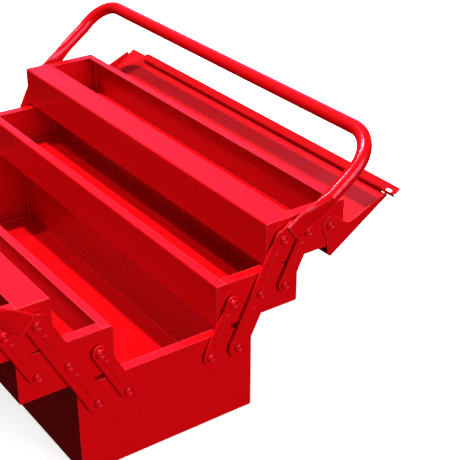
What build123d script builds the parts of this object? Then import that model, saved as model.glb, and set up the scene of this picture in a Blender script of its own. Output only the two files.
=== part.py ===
from build123d import *
import math
import os

# Cantilever toolbox in folded steel sheet: a base and two pairs of trays on parallel links, shown open.
# +X runs along the box, +Y to the rear, +Z up. The origin is under the middle of the base, on the floor.
# The rear half is modelled; the front half is its mirror image. Sizes are in millimetres.

# Sheet metal
sheet = 1.0
bend_radius = 1.0
edge_radius = 0.6
box_length = 530.0
tab_width = 10.0

# Base
base_width = 200.0
base_height = 103.0
base_rim = 11.0

# Trays, in the open position: inner wall, width, underside and depth
tray_depth = 49.0
middle_tray_inner = 58.3
middle_tray_width = 99.1
middle_tray_floor = 108.4
top_tray_inner = 118.0
top_tray_width = 98.2
top_tray_floor = 159.4
tray_rim = 10.5
tray_end_rim = 12.0
top_tray_shelf = 33.0

# Linkage, in the open position
arm_pitch = 60.0
open_lean = 27.25
arm_pivot = (80.7, 81.8)
lower_link_offset = 33.0
upper_link_offset = 31.0
arm_half_width = 11.0
link_half_width = 8.5
arm_thickness = 2.7
link_thickness = 2.4
rib_half_width = 3.0
rib_height = 0.9
rib_shoulder = 1.3

# Rivets and washers
shank_radius = 3.0
fixed_hole = 3.02
running_hole = 3.08
head_radius = 5.2
head_height = 2.3
crest_radius = 4.0
dish_radius = 2.4
dish_depth = 1.2
bump_height = 0.6
tail_radius = 4.6
tail_height = 1.8
washer_radius = 6.2
washer_thickness = 1.9
running_gap = 0.2

# Handle tube: the leg runs from its flattened foot on the arm to the grip
tube_radius = 7.75
tube_wall = 1.2
foot_point = (145.0, 193.0)
leg_bend_point = (213.0, 242.5)
grip_point = (246.0, 272.3)
leg_bend_radius = 80.0
grip_bend_radius = 38.0
foot_width = 21.4
foot_thickness = 3.4
foot_length = 14.0
foot_taper = 38.0
arm_tail_length = 14.0
arm_tail_half_width = 9.0

# Lid: u runs up the roof from its lower corner, v stands off the roof towards the inside
lid_corner = (199.2, 146.6)
lid_lean = 33.35
lid_roof = 99.5
lid_skirt = 6.0
lid_end_length = 90.4
lid_pivot = (19.9, 32.5)
lobe_radius = 10.2
lid_bend_radius = 0.3
lid_end_gap = 0.5
lid_washer_thickness = 0.4

# Sliding lock bar along the free edge of the rear lid
bar_inner = 90.9
bar_outer = 101.9
bar_lift = 0.3
bar_top = 6.4
bar_right_end = 279.0
bar_left_end = -226.0
bar_travel = 16.0
guide_places = (-200.0, 27.0, 253.0)
guide_line = 94.4
guide_shank = 1.5
guide_slot_half_width = 1.7
guide_head = 2.6
guide_head_height = 0.6
guide_tail_height = 1.0
padlock_place = 268.5
padlock_line = 93.9
padlock_half_width = 1.7
padlock_slot_length = 9.0
padlock_notch_start = 256.5

half_length = box_length / 2
panel_inside = half_length - sheet
arm_inside = half_length + washer_thickness + running_gap
foot_inside = arm_inside + arm_thickness


def turned(point, length, lean):
    """The point reached from another by a step that leans outwards from the vertical."""
    angle = math.radians(lean)
    return (point[0] + length * math.sin(angle), point[1] + length * math.cos(angle))


def sideways(point, distance):
    """The point at a level distance outwards from another."""
    return (point[0] + distance, point[1])


C = arm_pivot
A = sideways(C, -lower_link_offset)
D = turned(C, arm_pitch, open_lean)
B = sideways(D, -lower_link_offset)
E = turned(D, arm_pitch, open_lean)
F = sideways(D, upper_link_offset)
G = sideways(E, upper_link_offset)


def lid_plane(x):
    """The drawing plane of the open lid at a station along the box."""
    lean = math.radians(lid_lean)
    return Plane(origin=(x, *lid_corner), x_dir=(0, math.cos(lean), math.sin(lean)), z_dir=(1, 0, 0))


lid_hinge = lid_plane(0).from_local_coords(lid_pivot)
H = (lid_hinge.Y, lid_hinge.Z)


def rounded_face(points, radii):
    """A flat outline whose corners are rounded by the matching radii."""
    face = make_face(Polyline(*points, close=True))
    for radius in sorted(set(radii) - {0}):
        corners = [Vector(*point) for point, own in zip(points, radii) if own == radius]
        chosen = [v for v in face.vertices() if any((Vector(v) - c).length < 1e-4 for c in corners)]
        face = fillet(chosen, radius)
    return face


def along_box(face, low, high, plane=Plane.YZ):
    """A section drawn in a cross plane of the box, stretched from one station to another."""
    return extrude(plane.offset(low) * face, high - low)


def block(x_range, y_range, z_range):
    """A rectangular block between the given limits."""
    low, high = zip(x_range, y_range, z_range)
    size = [b - a for a, b in zip(low, high)]
    return Pos(*low) * Box(*size, align=(Align.MIN, Align.MIN, Align.MIN))


def disc(point, radius, low, high):
    """A disc whose axis runs along the box."""
    return along_box(Pos(*point) * Circle(radius), low, high)


def slot_face(start, end, half_width):
    """A flat bar with round ends about two points of the cross plane."""
    step = Vector(*end) - Vector(*start)
    middle = (Vector(*start) + Vector(*end)) / 2
    angle = math.degrees(math.atan2(step.Y, step.X))
    return Pos(middle.X, middle.Y) * Rot(0, 0, angle) * SlotCenterToCenter(step.length, 2 * half_width)


def both_ends(shape):
    """A shape at the right end with its mirror image at the left end."""
    return shape, mirror(shape, Plane.YZ)


# Folded sheet pans and their end panels

def pan(inner, outer, floor, top, inner_rim, outer_rim):
    """The long folded sheet of a tray: a floor, two walls and two rims turned inwards."""
    outside = [(inner + inner_rim, top), (inner, top), (inner, floor), (outer, floor), (outer, top)]
    outside.append((outer - outer_rim, top))
    under_rim = top - sheet
    inside = [(outer - outer_rim, under_rim), (outer - sheet, under_rim), (outer - sheet, floor + sheet)]
    inside += [(inner + sheet, floor + sheet), (inner + sheet, under_rim), (inner + inner_rim, under_rim)]
    big = bend_radius + sheet
    radii = [0, big, big, big, big, 0, 0, bend_radius, bend_radius, bend_radius, bend_radius, 0]
    return along_box(rounded_face(outside + inside, radii), -panel_inside, panel_inside)


def end_panel(inner, outer, floor, top, rims, end_rim, pivots):
    """The right end panel: a flat sheet with a rim folded inwards at the top."""
    corner = bend_radius + sheet
    outline = [(inner, floor), (outer, floor), (outer, top), (inner, top)]
    panel = along_box(rounded_face(outline, [corner] * 4), panel_inside, half_length)
    panel = fillet(panel.edges().group_by(Axis.X)[-1], edge_radius)
    rim = (half_length - end_rim, panel_inside)
    panel += block(rim, (inner + rims[0], outer - rims[1]), (top - sheet, top))
    for pivot in pivots:
        panel -= disc(pivot, fixed_hole, panel_inside, half_length)
    return panel


def end_tabs(inner, outer, floor, top):
    """The three welding tabs at each end, flat against the inside of the pan."""
    tab = (panel_inside - tab_width, panel_inside)
    heights = (floor + 4 * sheet, top - 4 * sheet)
    tabs = [
        block(tab, (inner + sheet, inner + 2 * sheet), heights),
        block(tab, (outer - 2 * sheet, outer - sheet), heights),
        block(tab, (inner + 6 * sheet, outer - 6 * sheet), (floor + sheet, floor + 2 * sheet)),
    ]
    return [end for piece in tabs for end in both_ends(piece)]


# Rivets and washers

def rivet(point, under_head):
    """A rivet with a dished head and a low bump at its centre, set through an end panel."""
    crest = under_head + head_height
    bump_top = crest - dish_depth + bump_height
    tail = panel_inside - tail_height
    outline = Polyline(
        (bump_top, 0), (tail, 0), (tail, tail_radius), (panel_inside, tail_radius),
        (panel_inside, shank_radius), (under_head, shank_radius), (under_head, head_radius),
    )
    shoulder = (under_head + 0.6 * head_height, 0.95 * head_radius)
    rim = ThreePointArc((under_head, head_radius), shoulder, (crest, crest_radius))
    dish = Spline(
        (crest, crest_radius), (crest - dish_depth, dish_radius), (bump_top, 0),
        tangents=((0, -1), (0, -1)),
    )
    return Pos(0, *point) * revolve(make_face([outline, rim, dish]), Axis.X)


def washer(point, radius, thickness):
    """A flat washer that holds a link clear of the end panel."""
    ring = disc(point, radius, half_length, half_length + thickness)
    return ring - disc(point, fixed_hole, half_length, half_length + thickness)


def rivet_group(arm_points, link_points, lid_points=()):
    """The rivets of one tray at both ends of the box, as one group."""
    places = [(point, arm_inside + arm_thickness + running_gap) for point in arm_points]
    places += [(point, arm_inside + link_thickness + running_gap) for point in link_points]
    places += [(point, half_length + lid_end_gap + sheet + running_gap) for point in lid_points]
    return [end for place in places for end in both_ends(rivet(*place))]


def washer_group(arm_points, lid_points=()):
    """The washers under one tray's links at both ends of the box, as one group."""
    rings = [washer(point, washer_radius, washer_thickness) for point in arm_points]
    rings += [washer(point, washer_radius, lid_washer_thickness) for point in lid_points]
    return [end for ring in rings for end in both_ends(ring)]


# Links, arms and handle

def flat_bar(face, thickness, pivots, rib_ends):
    """A flat link with eased edges, pivot holes and a pressed rib between its pivots."""
    bar = along_box(face, arm_inside, arm_inside + thickness)
    bar = fillet(bar.edges().group_by(Axis.X)[-1], edge_radius)
    outside = arm_inside + thickness
    for start, end in rib_ends:
        rib = along_box(slot_face(start, end, rib_half_width), outside - edge_radius, outside + rib_height)
        bar += fillet(rib.edges().group_by(Axis.X)[-1], rib_shoulder)
    for pivot in pivots:
        bar -= disc(pivot, running_hole, arm_inside, outside)
    return bar


def between(start, end, margin):
    """The two ends of a rib that stops short of the pivots at either end."""
    step = (Vector(*end) - Vector(*start)).normalized() * margin
    first = Vector(*start) + step
    last = Vector(*end) - step
    return ((first.X, first.Y), (last.X, last.Y))


def link(start, end):
    """A short link between a pivot on one tray and a pivot on the tray above."""
    rib_ends = [between(start, end, 14)]
    return flat_bar(slot_face(start, end, link_half_width), link_thickness, (start, end), rib_ends)


leg_direction = (Vector(*leg_bend_point) - Vector(*foot_point)).normalized()
arm_tail = Vector(*E) + leg_direction * arm_tail_length


def long_arm():
    """The long arm through three pivots, with a tail behind the foot of the handle."""
    face = slot_face(C, E, arm_half_width) + slot_face(E, (arm_tail.X, arm_tail.Y), arm_tail_half_width)
    return flat_bar(face, arm_thickness, (C, D, E), [between(C, D, 17), between(D, E, 17)])


def handle_half():
    """The right half of the handle: a flattened foot, a taper to round, the leg and half the grip."""
    middle = foot_inside + foot_thickness / 2
    centre = foot_inside + tube_radius
    foot = Vector(middle, *foot_point)
    step = Vector(0, leg_direction.X, leg_direction.Y)
    foot_end = foot + step * foot_length
    leg_start = Vector(centre, *foot_point) + step * (foot_length + foot_taper)
    across = step.cross(Vector(1, 0, 0))
    flat_shape = RectangleRounded(foot_width, foot_thickness, foot_thickness / 2 - 0.1)
    flat_start = Plane(foot, x_dir=across, z_dir=step) * flat_shape
    flat_end = Plane(foot_end, x_dir=across, z_dir=step) * flat_shape
    round_plane = Plane(leg_start, x_dir=across, z_dir=step)
    flattened = extrude(flat_start, foot_length)
    taper = loft([flat_end.face(), (round_plane * Circle(tube_radius)).face()])
    corners = [leg_start, Vector(centre, *leg_bend_point), Vector(centre, *grip_point)]
    corners.append(Vector(0, *grip_point))
    route = FilletPolyline(*corners, radius=[leg_bend_radius, grip_bend_radius])
    tube = sweep(round_plane * Circle(tube_radius), path=route)
    bore = sweep(round_plane * Circle(tube_radius - tube_wall), path=route)
    return flattened + taper + (tube - bore)


# Lid and lock bar

def lid_shell():
    """The lid's roof with its narrow skirt."""
    outside = [(0, lid_skirt), (0, 0), (lid_roof, 0)]
    inside = [(lid_roof, sheet), (sheet, sheet), (sheet, lid_skirt)]
    face = rounded_face(outside + inside, [0, lid_bend_radius + sheet, 0, 0, lid_bend_radius, 0])
    end = half_length + lid_end_gap
    return extrude(lid_plane(-end) * face, 2 * end)


def lid_end():
    """The lid's right end plate: a low strip with a round lobe for the hinge rivet."""
    lobe_low = (lid_pivot[0] - lobe_radius, lid_pivot[1])
    lobe_high = (lid_pivot[0] + lobe_radius, lid_pivot[1])
    outline = [(0, 0), (lid_end_length, 0), (lid_end_length, 5), (36.8, 14)]
    outline += [lobe_high, lobe_low, (7.2, 20), (1.9, 9.4)]
    face = rounded_face(outline, [lid_bend_radius + sheet, 0, 2, 14, 0, 0, 10, 0])
    face += Pos(*lid_pivot) * Circle(lobe_radius)
    plate = extrude(lid_plane(half_length + lid_end_gap) * face, sheet)
    plate = fillet(plate.edges().group_by(Axis.X)[-1], edge_radius / 2)
    hole = Pos(*lid_pivot) * Circle(running_hole)
    return plate - extrude(lid_plane(half_length + lid_end_gap) * hole, sheet)


def channel(low_edge, left, right):
    """An inverted channel along the lid's free edge."""
    outside = [(bar_inner, low_edge), (bar_inner, bar_top), (bar_outer, bar_top), (bar_outer, low_edge)]
    inside = [(bar_outer - sheet, low_edge), (bar_outer - sheet, bar_top - sheet)]
    inside += [(bar_inner + sheet, bar_top - sheet), (bar_inner + sheet, low_edge)]
    face = rounded_face(outside + inside, [0, 1.5, 1.5, 0, 0, 0.5, 0.5, 0])
    return extrude(lid_plane(left) * face, right - left)


bar_middle = (bar_inner + bar_outer) / 2
bar_face = lid_plane(0).from_local_coords((bar_middle, 0, 0))
bar_normal = lid_plane(0).y_dir
guide_shift = Pos(0, guide_line - bar_middle)


def on_bar(x, shape, low, high):
    """A shape drawn on the lid at the bar's centre line, cut between two heights off the roof."""
    plane = Plane(bar_face + Vector(x, 0, 0) + bar_normal * low, x_dir=(1, 0, 0), z_dir=bar_normal)
    return extrude(plane * shape, high - low)


def lock_bar():
    """The sliding bar: a channel with round ends, rivet holes and a padlock slot in its lower side."""
    length = bar_right_end - bar_left_end
    middle = (bar_right_end + bar_left_end) / 2
    bar = channel(sheet + bar_lift, bar_left_end, bar_right_end)
    bar &= on_bar(middle, RectangleRounded(length, bar_outer - bar_inner, 4.5), 0, bar_top + 1)
    for place in guide_places:
        bar -= on_bar(place, guide_shift * Circle(guide_shank + 0.02), sheet, bar_top + 1)
    padlock_slot = SlotCenterToCenter(padlock_slot_length - 2 * padlock_half_width, 2 * padlock_half_width)
    return bar - on_bar(padlock_place, Pos(0, padlock_line - bar_middle) * padlock_slot, sheet, bar_top + 1)


def slotted_lid_shell():
    """The rear lid's roof, with the guide slots under the bar and a notch in its lip for a padlock."""
    shell = lid_shell()
    slot = guide_shift * SlotCenterToCenter(bar_travel, 2 * guide_slot_half_width)
    for place in guide_places:
        shell -= on_bar(place - bar_travel / 2, slot, 0, sheet)
    notch_width = lid_roof - lid_end_length
    notch = Pos(lid_roof - notch_width / 2, sheet / 2) * Rectangle(notch_width, sheet)
    end = half_length + lid_end_gap
    return shell - extrude(lid_plane(padlock_notch_start) * notch, end - padlock_notch_start)


def guide_rivets():
    """The rivets of the sliding bar: each is headed on the bar and clinched loosely outside the lid."""
    pins = []
    for place in guide_places:
        pin = on_bar(place, guide_shift * Circle(guide_shank), -running_gap, bar_top)
        pin += on_bar(place, guide_shift * Circle(guide_head), bar_top, bar_top + guide_head_height)
        tail = (-running_gap - guide_tail_height, -running_gap)
        pins.append(pin + on_bar(place, guide_shift * Circle(guide_head), *tail))
    return pins


# Assembly

def save(name, shape):
    """Write one sub-part, or a group of separate solids, to its own file."""
    solids = shape if isinstance(shape, list) else [shape]
    export_step(Compound(children=[s for piece in solids for s in piece.solids()]), f"parts/{name}.step")


def save_both_ends(name, shape):
    """Write a piece that is the same at both ends of the box."""
    for side, piece in zip(("right", "left"), both_ends(shape)):
        save(f"{name}_{side}", piece)


def front_of(shape):
    """The mirror image of a rear piece on the front side of the box."""
    return [mirror(piece, Plane.XZ) for piece in (shape if isinstance(shape, list) else [shape])]


os.makedirs("parts", exist_ok=True)

base_half = base_width / 2
save("base_pan", pan(-base_half, base_half, 0, base_height, base_rim, base_rim))
front_A, front_C = (-A[0], A[1]), (-C[0], C[1])
base_pivots = (A, C, front_A, front_C)
base_panel = end_panel(-base_half, base_half, 0, base_height, (base_rim, base_rim), base_rim, base_pivots)
save_both_ends("base_end_panel", base_panel)
save("base_end_tabs", end_tabs(-base_half, base_half, 0, base_height))
save("base_rivets", rivet_group((C, front_C), (A, front_A)))
save("base_washers", washer_group(base_pivots))

middle_limits = (middle_tray_inner, middle_tray_inner + middle_tray_width, middle_tray_floor)
middle_limits += (middle_tray_floor + tray_depth,)
top_limits = (top_tray_inner, top_tray_inner + top_tray_width, top_tray_floor, top_tray_floor + tray_depth)

pieces = {
    "middle_tray_pan": pan(*middle_limits, tray_rim, tray_rim),
    "middle_tray_end_tabs": end_tabs(*middle_limits),
    "middle_tray_rivets": rivet_group((D,), (B, F)),
    "middle_tray_washers": washer_group((B, D, F)),
    "top_tray_pan": pan(*top_limits, top_tray_shelf, tray_rim),
    "top_tray_end_tabs": end_tabs(*top_limits),
    "top_tray_rivets": rivet_group((E,), (G,), (H,)),
    "top_tray_washers": washer_group((E, G), (H,)),
}
pieces["handle_tube"] = handle_half() + mirror(handle_half(), Plane.YZ)

end_pieces = {
    "middle_tray_end": end_panel(*middle_limits, (tray_rim, tray_rim), tray_end_rim, (B, D, F)),
    "top_tray_end": end_panel(*top_limits, (top_tray_shelf, tray_rim), tray_end_rim, (E, G, H)),
    "lower_link": link(A, B),
    "upper_link": link(F, G),
    "long_arm": long_arm(),
    "lid_end": lid_end(),
}
for name, shape in end_pieces.items():
    pieces[f"{name}_right"], pieces[f"{name}_left"] = both_ends(shape)

for name, shape in pieces.items():
    save(f"rear_{name}", shape)
    save(f"front_{name}", front_of(shape))

save("rear_lid_shell", slotted_lid_shell())
save("front_lid_shell", front_of(lid_shell()))
save("lock_bar", lock_bar())
save("lock_bar_rivets", guide_rivets())
save("front_lid_edge_strip", front_of(channel(sheet, -panel_inside, panel_inside)))
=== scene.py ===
import bpy
import math
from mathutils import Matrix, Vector

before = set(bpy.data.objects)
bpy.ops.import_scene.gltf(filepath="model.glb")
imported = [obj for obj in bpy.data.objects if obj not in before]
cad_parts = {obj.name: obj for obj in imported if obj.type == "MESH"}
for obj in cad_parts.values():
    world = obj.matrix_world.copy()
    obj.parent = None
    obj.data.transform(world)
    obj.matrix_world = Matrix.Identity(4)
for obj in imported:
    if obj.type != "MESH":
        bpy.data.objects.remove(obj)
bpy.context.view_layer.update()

# Camera: where it stands and the way it looks, in metres and degrees, and its lens in millimetres
CAMERA_PLACE = (1.0571, -0.4811, 0.7393)
CAMERA_HEADING = 35.0
CAMERA_DROP = 28.4
CAMERA_LENS = 90.0

# Light: each far light's direction of travel, strength, spread in degrees, and colour
KEY_LIGHT = ((0.22, 0.16, -0.94), 4.0, 3.0, (1.0, 1.0, 1.0))
RIGHT_FILL = ((-0.93, -0.05, -0.30), 3.0, 45.0, (1.0, 1.0, 1.0))
FRONT_FILL = ((0.432, 0.357, -0.827), 1.5, 4.0, (1.0, 1.0, 1.0))
BACK_LIGHT = ((0.72, -0.505, -0.476), 0.32, 50.0, (1.0, 0.35, 1.0))
DOME_STRENGTH = 0.11
GROUND_STRENGTH = 0.01
HORIZON_BLEND = (-0.05, 0.10)

# Paint
PAINT_RED = (0.62, 0.0016, 0.0035, 1.0)
PAINT_DARK = (0.54, 0.0012, 0.0025, 1.0)
# Lighter red painted along edges as a highlight
PAINT_EDGE_HIGHLIGHT = (0.85, 0.060, 0.080, 1.0)
GLOSS_TINT = (1.0, 0.45, 0.80, 1.0)
GLOSS_LEVEL = 0.35
CLEAR_COAT = 0.03
CLEAR_COAT_ROUGHNESS = 0.12
CLOUD_SCALE = 26.0
MOTTLE_RANGE = (0.35, 0.75)
MOTTLE_MOST = 0.45
EDGE_AGREEMENT = (0.99, 0.80)
GLOSS_SPREAD = (-0.05, 0.07)

# Floor
FLOOR_REACH = 40.0
FLOOR_DROP = 0.0005
FLOOR_COLOUR = (0.93, 0.93, 0.93, 1.0)
FLOOR_ROUGHNESS = 0.9
FLOOR_GLOW = 0.7
WHITE = (1.0, 1.0, 1.0, 1.0)


def new_material(name):
    """A node material, with its link maker, its shader and a helper that adds nodes to it."""
    material = bpy.data.materials.new(name)
    material.use_nodes = True
    tree = material.node_tree
    shader = tree.nodes["Principled BSDF"]

    def add(kind, **values):
        node = tree.nodes.new(kind)
        for key, value in values.items():
            if hasattr(node, key):
                setattr(node, key, value)
            else:
                node.inputs[key].default_value = value
        return node

    return material, tree.links.new, shader, add


def powder_coat(
    name, peel_scale=700.0, peel_depth=0.00005, roughness=0.27, edge_reach=0.0013, edge_highlight_strength=0.75,
):
    """Glossy red powder coat: orange peel, faint mottling, and a painted highlight along its edges: a
    lighter red mixed into the colour where the rounded-over normal leaves the true one.
    """
    material, link, shader, add = new_material(name)
    place = add("ShaderNodeTexCoord")
    peel = add("ShaderNodeTexNoise", Scale=peel_scale, Detail=2.0, Roughness=0.5)
    cloud = add("ShaderNodeTexNoise", Scale=CLOUD_SCALE, Detail=4.0, Roughness=0.6)
    for noise in (peel, cloud):
        link(place.outputs["Object"], noise.inputs["Vector"])

    # Faint mottling of the red
    mottle = add("ShaderNodeMapRange")
    mottle.inputs["From Min"].default_value = MOTTLE_RANGE[0]
    mottle.inputs["From Max"].default_value = MOTTLE_RANGE[1]
    mottle.inputs["To Max"].default_value = MOTTLE_MOST
    link(cloud.outputs["Fac"], mottle.inputs["Value"])
    body = add("ShaderNodeMix", data_type="RGBA")
    body.inputs["A"].default_value = PAINT_RED
    body.inputs["B"].default_value = PAINT_DARK
    link(mottle.outputs["Result"], body.inputs["Factor"])

    # Painted edge highlight: a lighter red mixed into the colour where the rounded-over normal leaves the
    # true one
    round_over = add("ShaderNodeBevel", samples=6)
    round_over.inputs["Radius"].default_value = edge_reach
    true_normal = add("ShaderNodeNewGeometry")
    agree = add("ShaderNodeVectorMath", operation="DOT_PRODUCT")
    link(round_over.outputs["Normal"], agree.inputs[0])
    link(true_normal.outputs["Normal"], agree.inputs[1])
    edge_highlight_mask = add("ShaderNodeMapRange")
    edge_highlight_mask.inputs["From Min"].default_value = EDGE_AGREEMENT[0]
    edge_highlight_mask.inputs["From Max"].default_value = EDGE_AGREEMENT[1]
    edge_highlight_mask.inputs["To Max"].default_value = edge_highlight_strength
    link(agree.outputs["Value"], edge_highlight_mask.inputs["Value"])
    coat = add("ShaderNodeMix", data_type="RGBA")
    coat.inputs["B"].default_value = PAINT_EDGE_HIGHLIGHT
    link(body.outputs["Result"], coat.inputs["A"])
    link(edge_highlight_mask.outputs["Result"], coat.inputs["Factor"])
    link(coat.outputs["Result"], shader.inputs["Base Color"])

    # Gloss that varies with the mottling, over a fine orange peel
    gloss = add("ShaderNodeMapRange")
    gloss.inputs["To Min"].default_value = roughness + GLOSS_SPREAD[0]
    gloss.inputs["To Max"].default_value = roughness + GLOSS_SPREAD[1]
    link(cloud.outputs["Fac"], gloss.inputs["Value"])
    link(gloss.outputs["Result"], shader.inputs["Roughness"])
    bump = add("ShaderNodeBump")
    bump.inputs["Strength"].default_value = 0.5
    bump.inputs["Distance"].default_value = peel_depth
    link(peel.outputs["Fac"], bump.inputs["Height"])
    link(bump.outputs["Normal"], shader.inputs["Normal"])
    shader.inputs["Specular IOR Level"].default_value = GLOSS_LEVEL
    shader.inputs["Specular Tint"].default_value = GLOSS_TINT
    shader.inputs["Coat Weight"].default_value = CLEAR_COAT
    shader.inputs["Coat Roughness"].default_value = CLEAR_COAT_ROUGHNESS
    return material


def paint_nodes():
    """Gives every carried-over CAD node its powder coat."""
    sheet_paint = powder_coat("red_powder_coat_sheet")
    tube_paint = powder_coat("red_powder_coat_tube", peel_scale=520.0, peel_depth=0.0002, roughness=0.20)
    # The links get a weaker, narrower painted edge highlight
    arm_paint = powder_coat("red_powder_coat_links", peel_scale=600.0, edge_reach=0.0006, edge_highlight_strength=0.2)
    for name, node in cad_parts.items():
        if name.endswith("handle_tube"):
            paint = tube_paint
        elif "link" in name or "long_arm" in name or "rivets" in name or "washers" in name:
            paint = arm_paint
        else:
            paint = sheet_paint
        for slot in node.material_slots:
            slot.material = paint


def camera():
    """The camera at the photograph's viewing angle."""
    data = bpy.data.cameras.new("camera")
    data.sensor_width = 36.0
    data.lens = CAMERA_LENS
    data.clip_start = 0.05
    item = bpy.data.objects.new("camera", data)
    item.location = CAMERA_PLACE
    item.rotation_euler = (math.radians(90.0 - CAMERA_DROP), 0.0, math.radians(90.0 - CAMERA_HEADING))
    bpy.context.scene.collection.objects.link(item)
    bpy.context.scene.camera = item


def plain_floor():
    """A wide, plain pale floor."""
    reach = FLOOR_REACH
    mesh = bpy.data.meshes.new("floor")
    corners = [(-reach, -reach, 0.0), (reach, -reach, 0.0), (reach, reach, 0.0), (-reach, reach, 0.0)]
    mesh.from_pydata(corners, [], [(0, 1, 2, 3)])
    item = bpy.data.objects.new("floor", mesh)
    item.location = (0.0, 0.0, -FLOOR_DROP)
    bpy.context.scene.collection.objects.link(item)
    material, _, shader, _ = new_material("pale_floor")
    shader.inputs["Base Color"].default_value = FLOOR_COLOUR
    shader.inputs["Roughness"].default_value = FLOOR_ROUGHNESS
    shader.inputs["Emission Color"].default_value = WHITE
    shader.inputs["Emission Strength"].default_value = FLOOR_GLOW
    mesh.materials.append(material)
    item.visible_diffuse = False
    item.visible_glossy = False


def sun(name, travel, strength, spread, colour):
    """A far light that shines along a direction, softened over an angle in degrees."""
    data = bpy.data.lights.new(name, "SUN")
    data.energy = strength
    data.color = colour
    data.angle = math.radians(spread)
    item = bpy.data.objects.new(name, data)
    item.rotation_euler = Vector(travel).to_track_quat("-Z", "Y").to_euler()
    bpy.context.scene.collection.objects.link(item)


def studio_light():
    """The key and fill lights, under a dome that is pale above and dark below."""
    sun("key", *KEY_LIGHT)
    sun("right_fill", *RIGHT_FILL)
    sun("front_fill", *FRONT_FILL)
    sun("back_light", *BACK_LIGHT)
    world = bpy.data.worlds.new("studio")
    world.use_nodes = True
    tree = world.node_tree
    direction = tree.nodes.new("ShaderNodeTexCoord")
    parts = tree.nodes.new("ShaderNodeSeparateXYZ")
    level = tree.nodes.new("ShaderNodeMapRange")
    level.inputs["From Min"].default_value = HORIZON_BLEND[0]
    level.inputs["From Max"].default_value = HORIZON_BLEND[1]
    level.inputs["To Min"].default_value = GROUND_STRENGTH
    level.inputs["To Max"].default_value = DOME_STRENGTH
    tree.links.new(direction.outputs["Generated"], parts.inputs["Vector"])
    tree.links.new(parts.outputs["Z"], level.inputs["Value"])
    dome = tree.nodes["Background"]
    dome.inputs["Color"].default_value = WHITE
    tree.links.new(level.outputs["Result"], dome.inputs["Strength"])
    bpy.context.scene.world = world


camera()
paint_nodes()
plain_floor()
studio_light()
bpy.context.scene.view_settings.view_transform = "Standard"
